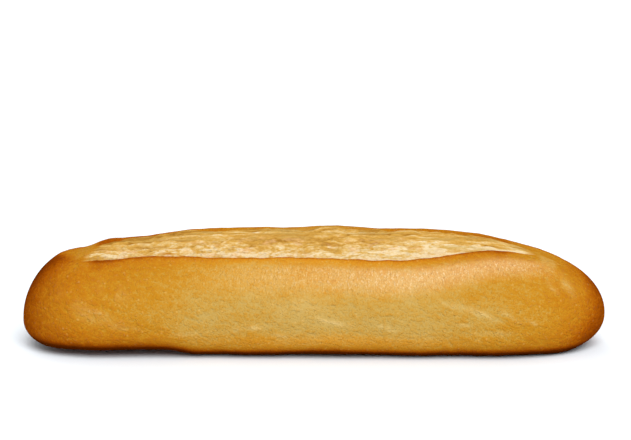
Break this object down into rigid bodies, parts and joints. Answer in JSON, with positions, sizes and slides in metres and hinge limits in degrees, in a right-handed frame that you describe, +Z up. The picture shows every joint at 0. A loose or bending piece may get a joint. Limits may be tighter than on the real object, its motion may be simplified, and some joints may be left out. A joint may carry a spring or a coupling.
{
  "type": "sandwich roll",
  "caption": "Long baked sandwich roll with a golden crust, rounded tips, a flat base and a lengthwise score that opened to pale torn crumb along the top.",
  "frame": {"origin": "bottom centre of the roll's box, on the surface it lies on", "axes": "+X along the roll towards its tapered tip, +Z up through the scored crown, -Y towards the score's low lip"},
  "size_m": [0.28, 0.0738, 0.0553],
  "materials": {
    "crust": "satin"
  },
  "bodies": {
    "root": {"roll": "crust"}
  },
  "joints": []
}
